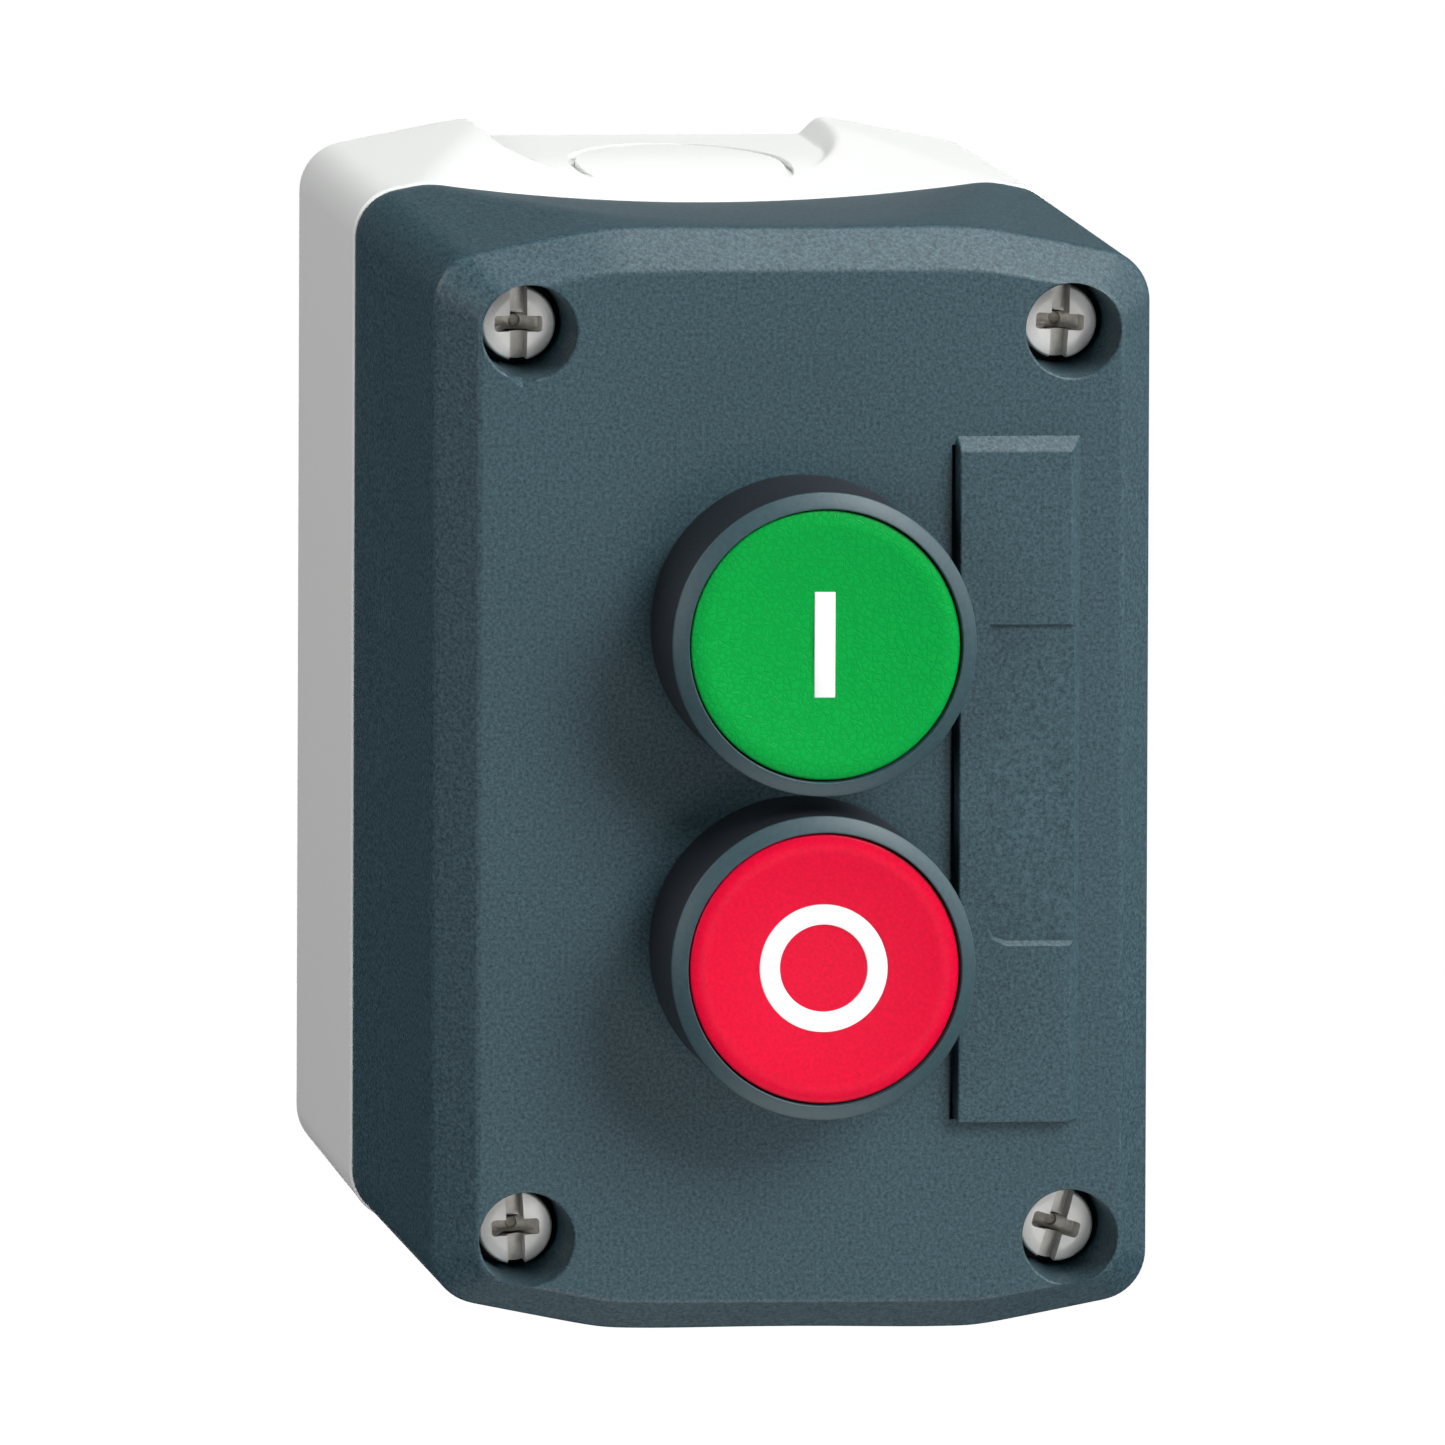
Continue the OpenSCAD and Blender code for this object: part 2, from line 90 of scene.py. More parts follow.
WALL = 2.4
BACK_EDGE_R = 0.35
BACK_DRAFT = 0.2
FRONT_DRAFT = 0.45
FRONT_DROP = 0.6
BEVEL = 3.5
FLAT_HALF = 17.4
SHOULDER = math.tan(math.radians(11.3))
SHOULDER_SOFT = 3.0
CORNER_R = 4.8
DIP = 3.9
DIP_R = 190.0
FRONT_RISE = 3.7
SOFT_TURN = 0.5
POCKET_FLOOR = HALF_H - 1.9
POCKET_R = 15.5
POCKET_END = 8.0
ENTRY_FWD = 15.75
ENTRY_R = 10.7
RECESS_R = 4.4
CORNERS = [(sx, sy) for sx in (-1, 1) for sy in (-1, 1)]


def place(x, up, fwd):
    """A point, from mm to the right, up, and forward from the wall."""
    return Vector((x, -fwd, up)) * MM


# ---------------------------------------------------------------- mesh tools
def new_object(name, bm, smooth_angle=30.0):
    """Turns a finished bmesh into an object in the scene."""
    mesh = bpy.data.meshes.new(name)
    bmesh.ops.recalc_face_normals(bm, faces=bm.faces)
    bm.to_mesh(mesh)
    bm.free()
    obj = bpy.data.objects.new(name, mesh)
    bpy.context.scene.collection.objects.link(obj)
    soften(obj, smooth_angle)
    return obj


def soften(obj, angle):
    """Smooth shading, with a sharp edge wherever two faces meet at more than this angle."""
    obj.data.shade_smooth()
    obj.data.set_sharp_from_angle(angle=math.radians(angle))


def weigh_normals(obj):
    """Keeps large flat faces flat in the shading, up to the rounded edges beside them."""
    modifier = obj.modifiers.new("flat_faces", "WEIGHTED_NORMAL")
    modifier.keep_sharp = True
    modifier.weight = 80


def loft(name, rings, smooth_angle=30.0):
    """A closed skin over rings of points, each ring with as many points as the next, capped at both ends."""
    bm = bmesh.new()
    rows = [[bm.verts.new(p) for p in ring] for ring in rings]
    count = len(rows[0])
    for near, far in zip(rows, rows[1:]):
        for i in range(count):
            j = (i + 1) % count
            bm.faces.new((near[i], near[j], far[j], far[i]))
    bm.faces.new(rows[0][::-1])
    bm.faces.new(rows[-1])
    return new_object(name, bm, smooth_angle)


def rounded(corners, steps=5):
    """An outline of (a, b, radius) corners, each corner turned into an arc of that radius."""
    out = []
    for i, (a, b, radius) in enumerate(corners):
        here = Vector((a, b))
        before = Vector(corners[i - 1][:2]) - here
        after = Vector(corners[(i + 1) % len(corners)][:2]) - here
        if radius <= 0 or min(before.length, after.length) < 1e-9:
            out.append(tuple(here))
            continue
        u, v = before.normalized(), after.normalized()
        half = u.angle(v) / 2
        reach = min(radius / math.tan(half), before.length * 0.49, after.length * 0.49)
        centre = here + (u + v).normalized() * reach / math.cos(half)
        start, end = here + u * reach - centre, here + v * reach - centre
        turn = start.angle_signed(end)
        for k in range(steps + 1):
            angle = -turn * k / steps
            c, s = math.cos(angle), math.sin(angle)
            out.append((centre.x + start.x * c - start.y * s, centre.y + start.x * s + start.y * c))
    return out


def lathe(name, profile, x=0.0, up=0.0, sides=128, smooth_angle=30.0):
    """Turns an outline of (radius, forward) points round an axis that points forward."""
    bm = bmesh.new()
    rows = []
    for radius, fwd in profile:
        if radius < 1e-6:
            rows.append([bm.verts.new(place(x, up, fwd))] * sides)
        else:
            turn = [2 * math.pi * k / sides for k in range(sides)]
            rows.append([bm.verts.new(place(x + radius * math.cos(t), up + radius * math.sin(t), fwd))
                         for t in turn])
    for near, far in zip(rows, rows[1:] + rows[:1]):
        for i in range(sides):
            j = (i + 1) % sides
            corners = list(dict.fromkeys((near[i], near[j], far[j], far[i])))
            if len(corners) > 2:
                bm.faces.new(corners)
    return new_object(name, bm, smooth_angle)


def rod(radius, fwd0, fwd1, x, up, sides):
    """A round cutting or joining tool along the forward direction."""
    return lathe("tool", [(0, fwd0), (radius, fwd0), (radius, fwd1), (0, fwd1)], x, up, sides)


def prism(name, back, front, fwd0, fwd1):
    """A block between an outline at its back and one with as many points at its front."""
    return loft(name, [[place(x, up, fwd) for x, up in outline]
                       for outline, fwd in ((back, fwd0), (front, fwd1))])


def block(name, x0, x1, up0, up1, fwd0, fwd1, edge=0.0):
    """A box, with rounded edges if edge says how wide."""
    bm = bmesh.new()
    bmesh.ops.create_cube(bm, size=1.0)
    for v in bm.verts:
        v.co = place(x0 + (v.co.x + 0.5) * (x1 - x0), up0 + (v.co.y + 0.5) * (up1 - up0),
                     fwd0 + (v.co.z + 0.5) * (fwd1 - fwd0))
    if edge:
        bmesh.ops.bevel(bm, geom=list(bm.edges), offset=edge * MM, segments=3, profile=0.5,
                        affect="EDGES", clamp_overlap=True)
    return new_object(name, bm)


def carve(obj, tools, operation="DIFFERENCE", smooth_angle=30.0):
    """Cuts the tools out of the object, or joins them to it, and removes the tools."""
    for tool in tools:
        modifier = obj.modifiers.new("carve", "BOOLEAN")
        modifier.operation = operation
        modifier.solver = "MANIFOLD"
        modifier.object = tool
    depsgraph = bpy.context.evaluated_depsgraph_get()
    mesh = bpy.data.meshes.new_from_object(obj.evaluated_get(depsgraph))
    old = obj.data
    obj.modifiers.clear()
    obj.data = mesh
    mesh.name = obj.name
    bpy.data.meshes.remove(old)
    for tool in tools:
        bpy.data.objects.remove(tool)
    bm = bmesh.new()
    bm.from_mesh(mesh)
    bmesh.ops.remove_doubles(bm, verts=bm.verts, dist=1e-7)
    bmesh.ops.dissolve_degenerate(bm, edges=bm.edges, dist=1e-7)
    bm.to_mesh(mesh)
    bm.free()
    soften(obj, smooth_angle)
    return obj


# ---------------------------------------------------------------- the box's outline
def crown(x, half_h):
    """Height of the top edge: flat in the middle, then a shoulder falling to each side."""
    past = abs(x) - FLAT_HALF
    return half_h - SHOULDER * 0.5 * (past + math.sqrt(past * past + SHOULDER_SOFT)) + SHOULDER * 0.1


def dish(x, fwd):
    """Height of the shallow dish that dips the top edge along the joint line."""
    away = (JOINT - fwd) / JOINT * DIP if fwd < JOINT else (fwd - JOINT) / (FRONT - JOINT) * FRONT_RISE
    radius = DIP_R - away
    return HALF_H - DIP + DIP_R - math.sqrt(radius * radius - x * x)


def pocket(x, fwd):
    """Height of the entry pocket's flat floor, and of the slope that leads up out of it."""
    outside = abs(x) if fwd < POCKET_END else math.hypot(x, fwd - POCKET_END)
    return POCKET_FLOOR + max(0.0, outside - POCKET_R)


def lower_of(a, b):
    """The lower of two heights, with a soft turn from one to the other."""
    mix = max(SOFT_TURN - abs(a - b), 0.0) / SOFT_TURN
    return min(a, b) - mix * mix * SOFT_TURN * 0.25


def ring(half_w, half_h, radius, fwd, pocketed=False, drop=0.0):
    """One closed ring of the outline. The top and bottom follow the crown, the dish and the pocket."""
    slope = math.atan(SHOULDER)
    cx = half_w - radius
    cy = half_h - (cx - FLAT_HALF) * SHOULDER - radius / math.cos(slope)
    arc_end = math.pi / 2 - slope
    side_n, arc_n, top_n = 14, 12, 150
    quarter = [(half_w, cy * k / side_n) for k in range(side_n)]
    quarter += [(cx + radius * math.cos(arc_end * k / arc_n), cy + radius * math.sin(arc_end * k / arc_n))
                for k in range(arc_n + 1)]
    start = cx + radius * math.cos(arc_end)
    quarter += [(start * (1 - k / top_n), None) for k in range(1, top_n + 1)]
    points = []
    for x, up in quarter:
        height = crown(x, half_h) if up is None else up
        if abs(x) < half_w - 0.2:
            height = lower_of(height, dish(x, fwd) - drop)
        if pocketed and height > POCKET_FLOOR - 3:
            height = lower_of(height, pocket(x, fwd))
        points.append((x, height))
    right_top = points[:-1]
    crest = points[-1]
    left_top = [(-x, up) for x, up in right_top[::-1]]
    upper = right_top + [crest] + left_top[:-1]
    whole = upper + [(-x, -up) for x, up in upper]
    return [place(x, up, fwd) for x, up in whole]


def steps_between(start, end, size):
    """Even steps of about this size, from the start up to but without the end."""
    count = max(1, round(abs(end - start) / size))
    return [start + (end - start) * k / count for k in range(count)]


# ---------------------------------------------------------------- the light grey base
def knock_out_tool(sign):
    """The round groove of a cable knock-out, in the top (1) or the bottom (-1)."""
    floor = POCKET_FLOOR - 0.8
    tool = lathe("tool", rounded([(ENTRY_R - 0.7, floor, 0.15), (ENTRY_R, floor, 0.15),
                                  (ENTRY_R + 0.2, floor + 3, 0), (ENTRY_R - 0.9, floor + 3, 0)], 3),
                 sides=160)
    tool.data.transform(Matrix.Rotation(math.radians(-90 * sign), 4, "X"))
    tool.data.transform(Matrix.Translation(place(0, 0, ENTRY_FWD)))
    return tool


def make_base():
    """The rear shell: bosses and ears on its back wall, corner pillars, holes and both knock-outs."""
    rings = []
    for fwd in (0.0, 0.12, BACK_EDGE_R):
        inset = BACK_EDGE_R - math.sqrt(max(0.0, BACK_EDGE_R ** 2 - (BACK_EDGE_R - fwd) ** 2))
        rings.append(ring(HALF_W - BACK_DRAFT - inset, HALF_H - inset, CORNER_R, fwd, pocketed=True))
    rim = JOINT - 0.4
    for fwd in steps_between(0.7, rim, 0.4):
        draft = BACK_DRAFT * (1 - fwd / JOINT) - 0.1 * fwd / JOINT
        rings.append(ring(HALF_W - draft, HALF_H, CORNER_R, fwd, pocketed=True))
    for inset, fwd in ((0.0, rim), (0.05, JOINT - 0.2), (0.12, JOINT - 0.06), (0.24, JOINT)):
        rings.append(ring(HALF_W + 0.1 - inset, HALF_H + 0.05 - inset, CORNER_R, fwd, drop=inset - 0.05))
    for fwd in [JOINT] + steps_between(JOINT - 1, WALL, 2.5) + [WALL]:
        rings.append(ring(HALF_W - WALL, HALF_H - 4.9, CORNER_R - 1, fwd, drop=WALL))
    base = loft("rear_base", rings)
    bosses = [rod(4.5, 1, 3.9, sx * WALL_HOLE_X, sy * WALL_HOLE_UP, 48) for sx, sy in CORNERS]
    pillars = [rod(TOWER_R, 1, JOINT - 0.3, sx * SCREW_X, sy * SCREW_UP, 64) for sx, sy in CORNERS]
    ears = [block("tool", sx * EAR_X - 3.4, sx * EAR_X + 3.4, sy * BUTTON_UP - 4.6, sy * BUTTON_UP + 4.6,
                  1.5, 4.0) for sx, sy in CORNERS]
    carve(base, bosses + pillars + ears, "UNION")
    wall_hole = rounded([(0, -1, 0), (2.7, -1, 0), (2.25, 0.35, 0.2), (2.25, 6, 0), (0, 6, 0)], 3)
    holes = [lathe("tool", wall_hole, sx * WALL_HOLE_X, sy * WALL_HOLE_UP, 64) for sx, sy in CORNERS]
    holes += [rod(2.03, JOINT - 13.5, JOINT + 2, sx * SCREW_X, sy * SCREW_UP, 48) for sx, sy in CORNERS]
    holes += [rod(1.27, 1.2, 6, sx * EAR_X, sy * BUTTON_UP, 32) for sx, sy in CORNERS]
    carve(base, holes + [knock_out_tool(1), knock_out_tool(-1)])
    weigh_normals(base)
    return base


# ---------------------------------------------------------------- the dark cover
STRIP_LEFT, STRIP_RIGHT = 14.5, 26.1
STRIP_LOW, STRIP_HIGH = -31.3, 32.6
STRIP_T = 1.3
STRIP_CHAMFER = 1.15


def label_strip():
    """The raised strip beside the buttons, chamfered along its top and right edges."""
    bm = bmesh.new()
    low_ring, top_ring = [[(STRIP_LEFT, STRIP_LOW), (STRIP_RIGHT - cut, STRIP_LOW),
                           (STRIP_RIGHT - cut, STRIP_HIGH - cut), (STRIP_LEFT, STRIP_HIGH - cut)]
                          for cut in (0, STRIP_CHAMFER)]
    rows = [[bm.verts.new(place(x, up, fwd)) for x, up in points]
            for points, fwd in ((low_ring, FRONT - 1), (low_ring, FRONT), (top_ring, FRONT + STRIP_T))]
    for near, far in zip(rows, rows[1:]):
        for i in range(4):
            j = (i + 1) % 4
            bm.faces.new((near[i], near[j], far[j], far[i]))
    bm.faces.new(rows[0][::-1])
    bm.faces.new(rows[-1])
    raised = [e for e in bm.edges if max(v.co.y for v in e.verts) < -(FRONT + 0.1) * MM
              or (e.verts[0].co - e.verts[1].co).normalized().y ** 2 > 0.2
              and min(v.co.y for v in e.verts) < -(FRONT + 1) * MM]
    bmesh.ops.bevel(bm, geom=raised, offset=0.22 * MM, segments=3, profile=0.5, affect="EDGES")
    strip = new_object("label_strip", bm)
    # a shallow step across the strip's middle, rounded at its lower left corner
    floor = FRONT + STRIP_T - 0.5
    step = prism("tool", [(40, 15.0), (40, -14.4), (19.0, -14.4), (17.9, -14.0), (17.4, -13.2), (17.3, -12.4),
                          (17.3, 15.0)],
                 [(40, 15.5), (40, -15.2), (18.8, -15.2), (17.2, -14.3), (17.0, -13.4), (17.3, -12.4),
                  (17.3, 15.5)], floor, floor + 1)
    return carve(strip, [step])


def make_cover():
    """The front shell: bevelled front edge, screw towers and recesses, label strip and head holes."""
    rim = 0.05
    rings = []
    for inset, fwd in ((0.3, JOINT + 0.02), (0.12, JOINT + 0.05), (rim, JOINT + 0.2)):
        rings.append(ring(HALF_W - inset, HALF_H - 0.1 - inset, CORNER_R, fwd, drop=inset + 0.05))
    side_end = FRONT - BEVEL - 0.9
    for fwd in steps_between(JOINT + 1.2, side_end, 1.2):
        t = (fwd - JOINT) / (FRONT - BEVEL - JOINT)
        rings.append(ring(HALF_W - rim - (FRONT_DRAFT - rim) * t, HALF_H - 0.15 - (FRONT_DROP - 0.15) * t,
                          CORNER_R, fwd, drop=0.1 * (1 - t)))
    profile = rounded([(FRONT_DRAFT - 0.02, side_end, 0), (FRONT_DRAFT, FRONT - BEVEL, 1.1),
                       (FRONT_DRAFT + BEVEL, FRONT, 0.9), (FRONT_DRAFT + BEVEL + 2, FRONT, 0)], 6)
    for inset, fwd in profile[:-1]:
        chamfer = inset - FRONT_DRAFT
        corner = max(CORNER_R - chamfer * 0.45, 1.0)
        rings.append(ring(HALF_W - inset, HALF_H - FRONT_DROP - chamfer, corner, fwd, drop=chamfer))
    inner_fwd = [JOINT + 0.02] + steps_between(JOINT + 1, FRONT - 3.2, 3.0) + [FRONT - 3.2]
    inner = [ring(HALF_W - WALL - FRONT_DRAFT, HALF_H - FRONT_DROP - WALL, CORNER_R - 0.6, fwd, drop=WALL)
             for fwd in inner_fwd]
    cover = loft("front_cover", inner[::-1] + rings)
    towers = [rod(TOWER_R, JOINT + 0.4, FRONT - 3, sx * SCREW_X, sy * SCREW_UP, 64) for sx, sy in CORNERS]
    carve(cover, towers + [label_strip()], "UNION")
    flare_r = 0.3
    flare = [(RECESS_R + flare_r * (1 - math.cos(t)), FRONT - flare_r + flare_r * math.sin(t))
             for t in (math.pi / 2 * k / 5 for k in range(6))]
    recess = [(0, SEAT), (RECESS_R - 0.25, SEAT)] + flare + [(RECESS_R + 0.4, FRONT + 5), (0, FRONT + 5)]
    recesses = [lathe("tool", recess, sx * SCREW_X, sy * SCREW_UP, 96) for sx, sy in CORNERS]
    # a small sloped nick beside the upper left recess
    nick = [[(-SCREW_X + x, SCREW_UP + up) for x, up in outline]
            for outline in (((-3.3, -2.4), (-0.85, -4.1), (-0.55, -4.15), (0.6, -4.1), (0, 0)),
                            ((-3.65, -2.65), (-0.92, -5.28), (-0.6, -5.28), (0.72, -4.6), (0, 0)))]
    nick_tool = prism("tool", *nick, FRONT - 1.2, FRONT + 0.3)
    screw_holes = [rod(2.2, JOINT - 1, SEAT + 1, sx * SCREW_X, sy * SCREW_UP, 48) for sx, sy in CORNERS]
    head_holes = [rod(HEAD_HOLE_R, FRONT - 6, FRONT + 5, 0, sy * BUTTON_UP, 96) for sy in (-1, 1)]
    groove = block("tool", STRIP_LEFT - 0.45, STRIP_LEFT + 0.02, STRIP_LOW, STRIP_HIGH - 0.8,
                   FRONT - 1.0, FRONT + 3)
    carve(cover, recesses + screw_holes + head_holes + [groove, nick_tool])
    weigh_normals(cover)
    return cover


# ---------------------------------------------------------------- heads, caps, symbols, screws and springs
HEAD_BORE_R = 8.9
HEAD_BARREL_R = 11.1
RING_DROP = 0.75
CAP_HOLLOW = 0.6
MARK_TOP = CAP_TOP - 0.46
MARK_T = 0.6
O_INNER_R = 4.05
O_OUTER_R = 5.95
I_HALF_W = 0.97
I_HALF_H = 4.9


def make_bezel(name, up):
    """The fixed head: a skirt and a front ring outside, a barrel behind them and a guide ring inside."""
    bore, barrel, cup_r = HEAD_BORE_R, HEAD_BARREL_R, CAP_R + 0.18
    corners = [(bore, FRONT - 14, 0.2), (barrel, FRONT - 14, 0.4), (barrel, FRONT + 0.8, 0.1),
               (BEZEL_R - 0.7, FRONT + 0.8, 0.1), (BEZEL_R - 0.7, FRONT + 0.05, 0.1),
               (BEZEL_R, FRONT + 0.05, 0.25), (BEZEL_R, BEZEL_TOP - RING_DROP, 0.2),
               (cup_r, BEZEL_TOP, 0.1), (cup_r, FRONT + 2.4, 0.3), (bore, FRONT + 2.4, 0.3),
               (bore, FRONT - 8, 0.2), (4.5, FRONT - 8, 0.2), (4.5, FRONT - 10.5, 0.2),
               (bore, FRONT - 10.5, 0.2)]
    return lathe(name, rounded(corners, 4), up=up, sides=160, smooth_angle=40)


def make_cap(name, up, symbol):
    """A dished cap that rolls over into its rim, with a recess for its symbol."""
    dished_r, roll = CAP_R * 0.86, 0.117
    slope = 2 * CAP_HOLLOW / dished_r
    rim = CAP_TOP - 0.03
    top = [(dished_r * k / 24, rim - CAP_HOLLOW * (1 - (k / 24) ** 2)) for k in range(25)]
    top += [(dished_r + out, rim + slope * out - roll * out * out)
            for out in ((CAP_R - 0.15 - dished_r) * k / 8 for k in range(1, 8))]
    edge = rounded([top.pop() + (0,), (CAP_R, CAP_TOP - 0.2, 0.4), (CAP_R, CAP_BACK, 0.2),
                    (0, CAP_BACK, 0)], 5)
    cap = lathe(name, top + edge, up=up, sides=160, smooth_angle=40)
    return carve(cap, [symbol])


def bar_symbol(name, up, spare=0.0):
    """The I. With some spare it is the tool that cuts the I's recess, and stands proud of the cap."""
    return block(name, -I_HALF_W - spare, I_HALF_W + spare, up - I_HALF_H - spare, up + I_HALF_H + spare,
                 MARK_TOP - MARK_T, MARK_TOP + (3 if spare else 0), 0 if spare else 0.08)


def ring_symbol(name, up, spare=0.0):
    """The O. With some spare it is the tool that cuts the O's recess, and stands proud of the cap."""
    back, front = MARK_TOP - MARK_T, MARK_TOP + (3 if spare else 0)
    inner, outer = O_INNER_R - spare, O_OUTER_R + spare
    corners = [(inner, back, 0), (outer, back, 0), (outer, front, 0.08), (inner, front, 0.08)]
    return lathe(name, rounded(corners, 3), up=up, sides=128)


def make_screw(name, x, up, turn):
    """A pan head with a slot across it and a shorter cross arm, turned by so many degrees."""
    t = SCREW_TOP
    head_r, head_back = 3.5, SEAT + 0.7
    corners = [(0, head_back, 0), (head_r, head_back, 0.1), (head_r, t - 0.05, 0.3),
               (head_r - 1.2, t + 0.05, 1.0), (0, t + 0.12, 0)]
    screw = lathe(name, rounded(corners, 6), sides=96)
    slot = block("tool", -0.82, 0.82, -5, 5, t - 1.6, t + 2)
    arm = block("tool", -2.25, 2.25, -0.75, 0.75, t - 1.9, t + 2, 0.3)
    pit = lathe("tool", [(0, t - 2.3), (0.5, t - 2.2), (1.3, t + 1), (0, t + 1)], sides=32)
    carve(screw, [slot, arm, pit])
    shank = lathe("tool", [(0, 16), (1.5, 16), (2, 16.6), (2, SEAT + 0.75), (0, SEAT + 0.75)], sides=48)
    carve(screw, [shank], "UNION")
    edges = screw.modifiers.new("broken_edges", "BEVEL")
    edges.width, edges.segments, edges.limit_method = 0.09 * MM, 2, "ANGLE"
    edges.angle_limit = math.radians(50)
    screw.data.transform(Matrix.Rotation(math.radians(turn), 4, "Y"))
    screw.data.transform(Matrix.Translation(place(x, up, 0)))
    return screw


def coil(name, node, wire, turns, sides=10, steps=30):
    """A coil spring along the forward direction, in the same space as the node, with closed ends."""
    near, far = low(node), high(node)
    radius, up = (far.x - near.x) / 2 - wire, (near.z + far.z) / 2
    start, length = -far.y + wire, far.y - near.y - 2 * wire
    rings = []
    for k in range(turns * steps + 1):
        part = k / (turns * steps)
        angle = 2 * math.pi * turns * part
        climb = min(max((part - 0.5 / turns) / (1 - 1 / turns), 0.0), 1.0)
        rings.append([place((radius + wire * math.cos(t)) * math.cos(angle),
                            up + (radius + wire * math.cos(t)) * math.sin(angle),
                            start + length * climb + wire * math.sin(t))
                      for t in (2 * math.pi * n / sides for n in range(sides))])
    return loft(name, rings, 60)


# ---------------------------------------------------------------- shader maths
class Value:
    """A socket, with arithmetic that adds nodes."""

    def __init__(self, finish, socket):
        self.finish, self.socket = finish, socket

    def _math(self, operation, other, swap=False):
        first, second = (other, self) if swap else (self, other)
        return self.finish.node("ShaderNodeMath", {"operation": operation}, {0: first, 1: second})

    def __add__(self, other):
        return self._math("ADD", other)

    def __mul__(self, other):
        return self._math("MULTIPLY", other)

    def __sub__(self, other):
        return self._math("SUBTRACT", other)

    def __rsub__(self, other):
        return self._math("SUBTRACT", other, swap=True)

    def __gt__(self, other):
        return self._math("GREATER_THAN", other)


class Finish:
    """One material: a Principled shader, and the nodes that vary it over the surface."""

    def __init__(self, name, **constants):
        self.material = bpy.data.materials.new(name)
        self.material.use_nodes = True
        self.tree = self.material.node_tree
        self.shader = self.tree.nodes["Principled BSDF"]
        for socket, value in constants.items():
            self.shader.inputs[socket.replace("_", " ")].default_value = value
        self.where = Value(self, self.tree.nodes.new("ShaderNodeTexCoord").outputs["Object"])

    def node(self, kind, settings=None, inputs=None, out=0):
        made = self.tree.nodes.new(kind)
        for key, value in (settings or {}).items():
            if key == "stops":
                ramp = made.color_ramp
                for at, _ in value[2:]:
                    ramp.elements.new(at)
                for element, (at, color) in zip(ramp.elements, value):
                    element.position, element.color = at, (*color, 1)
            else:
                setattr(made, key, value)
        for key, value in (inputs or {}).items():
            if isinstance(value, Value):
                self.tree.links.new(value.socket, made.inputs[key])
            else:
                made.inputs[key].default_value = value
        return Value(self, made.outputs[out])

    def noise(self, scale, detail=2.0, rough=0.5):
        return self.node("ShaderNodeTexNoise", inputs={"Vector": self.where, "Scale": scale, "Detail": detail,
                                                       "Roughness": rough})

    def ramp(self, factor, *stops):
        return self.node("ShaderNodeValToRGB", {"stops": stops}, {"Fac": factor})

    def mix(self, factor, first, second):
        return self.node("ShaderNodeMix", {"data_type": "RGBA"}, {0: factor, 6: first, 7: second}, out=2)

    def feed(self, socket, value):
        self.tree.links.new(value.socket, self.shader.inputs[socket])

    def bump(self, height, distance):
        self.feed("Normal", self.node("ShaderNodeBump", inputs={"Height": height, "Distance": distance}))


def shade(color, factor):
    return tuple(c * factor for c in color) + (1,)


def moulded(name, color, roughness=0.5, grain=0.3, depth=0.02, mottle=0.06, shine=0.5, speckle=0.0):
    """Moulded plastic: a spark-eroded grain, with faint changes of tone and gloss. Grain and depth in mm."""
    f = Finish(name, Roughness=roughness, Specular_IOR_Level=shine)
    broad = f.noise(60, 3)
    fine = f.noise(0.6 / (grain * MM), 3, 0.6)
    tone = f.mix(broad * 0.6 + fine * 0.4, shade(color, 1 - mottle), shade(color, 1 + mottle))
    if speckle:
        flecks = f.ramp(f.noise(0.9 / (grain * MM), 4, 0.8),
                        (0.36, (1 - speckle, 1 - speckle * 0.8, 1 - speckle * 0.7)),
                        (0.64, (1 + speckle, 1 + speckle * 0.8, 1 + speckle * 0.8)))
        tone = f.node("ShaderNodeMix", {"data_type": "RGBA", "blend_type": "MULTIPLY"},
                      {0: 1.0, 6: tone, 7: flecks}, out=2)
    f.feed("Base Color", tone)
    f.feed("Roughness", fine * 0.12 + (roughness - 0.06))
    f.bump(fine * 0.7 + f.noise(0.25 / (grain * MM), 2) * 0.5, depth * MM)
    return f.material


def slate_ring_painted_shade_skirt(name, front_color, skirt_painted_shade, roughness=0.45):
    """Head plastic: a matt front ring in the cover's tone; the skirt behind it is painted darker, a painted
    shade for the shadow on the head's side wall.
    """
    f = Finish(name, Roughness=roughness, Specular_IOR_Level=0.4)
    fine = f.noise(2000, 3, 0.6)
    fwd = f.node("ShaderNodeSeparateXYZ", inputs={0: f.where}, out=1) * (-1 / MM)
    ringed = (fwd - (BEZEL_TOP - RING_DROP - 0.15)) > 0.0
    front = f.mix(fine, shade(front_color, 0.7), shade(front_color, 1.3))
    # painted shade: behind the front ring the skirt takes the much darker colour
    f.feed("Base Color", f.mix(ringed, f.mix(fine, shade(skirt_painted_shade, 0.75), shade(skirt_painted_shade, 1.25)), front))
    f.feed("Roughness", fine * 0.12 + (roughness - 0.06))
    f.bump(fine, 0.02 * MM)
    return f.material


def leathered(name, color, roughness=0.42):
    """Cap plastic with a fine leather grain: small pebbles with creases between them."""
    f = Finish(name, Roughness=roughness, Specular_IOR_Level=0.12)
    soft = f.noise(900, 4, 0.6)
    bent = f.node("ShaderNodeMix", {"data_type": "RGBA"}, {0: 0.0012, 6: f.where, 7: f.noise(1100, 2)}, out=2)
    pebbles = f.node("ShaderNodeTexVoronoi", {"feature": "DISTANCE_TO_EDGE"},
                     {"Vector": bent, "Scale": 1500.0})
    creases = f.ramp(pebbles, (0.0, (0.0,) * 3), (0.22, (1.0,) * 3))
    tone = f.mix(soft, shade(color, 0.9), shade(color, 1.07))
    # painted shade: the grain's creases are painted a little darker, for the shade that falls in them
    f.feed("Base Color", f.mix(creases, shade(color, 0.88), tone))
    f.feed("Roughness", soft * 0.2 + (roughness - 0.1))
    f.bump(creases * 0.8 + soft * 0.5, 0.03 * MM)
    return f.material


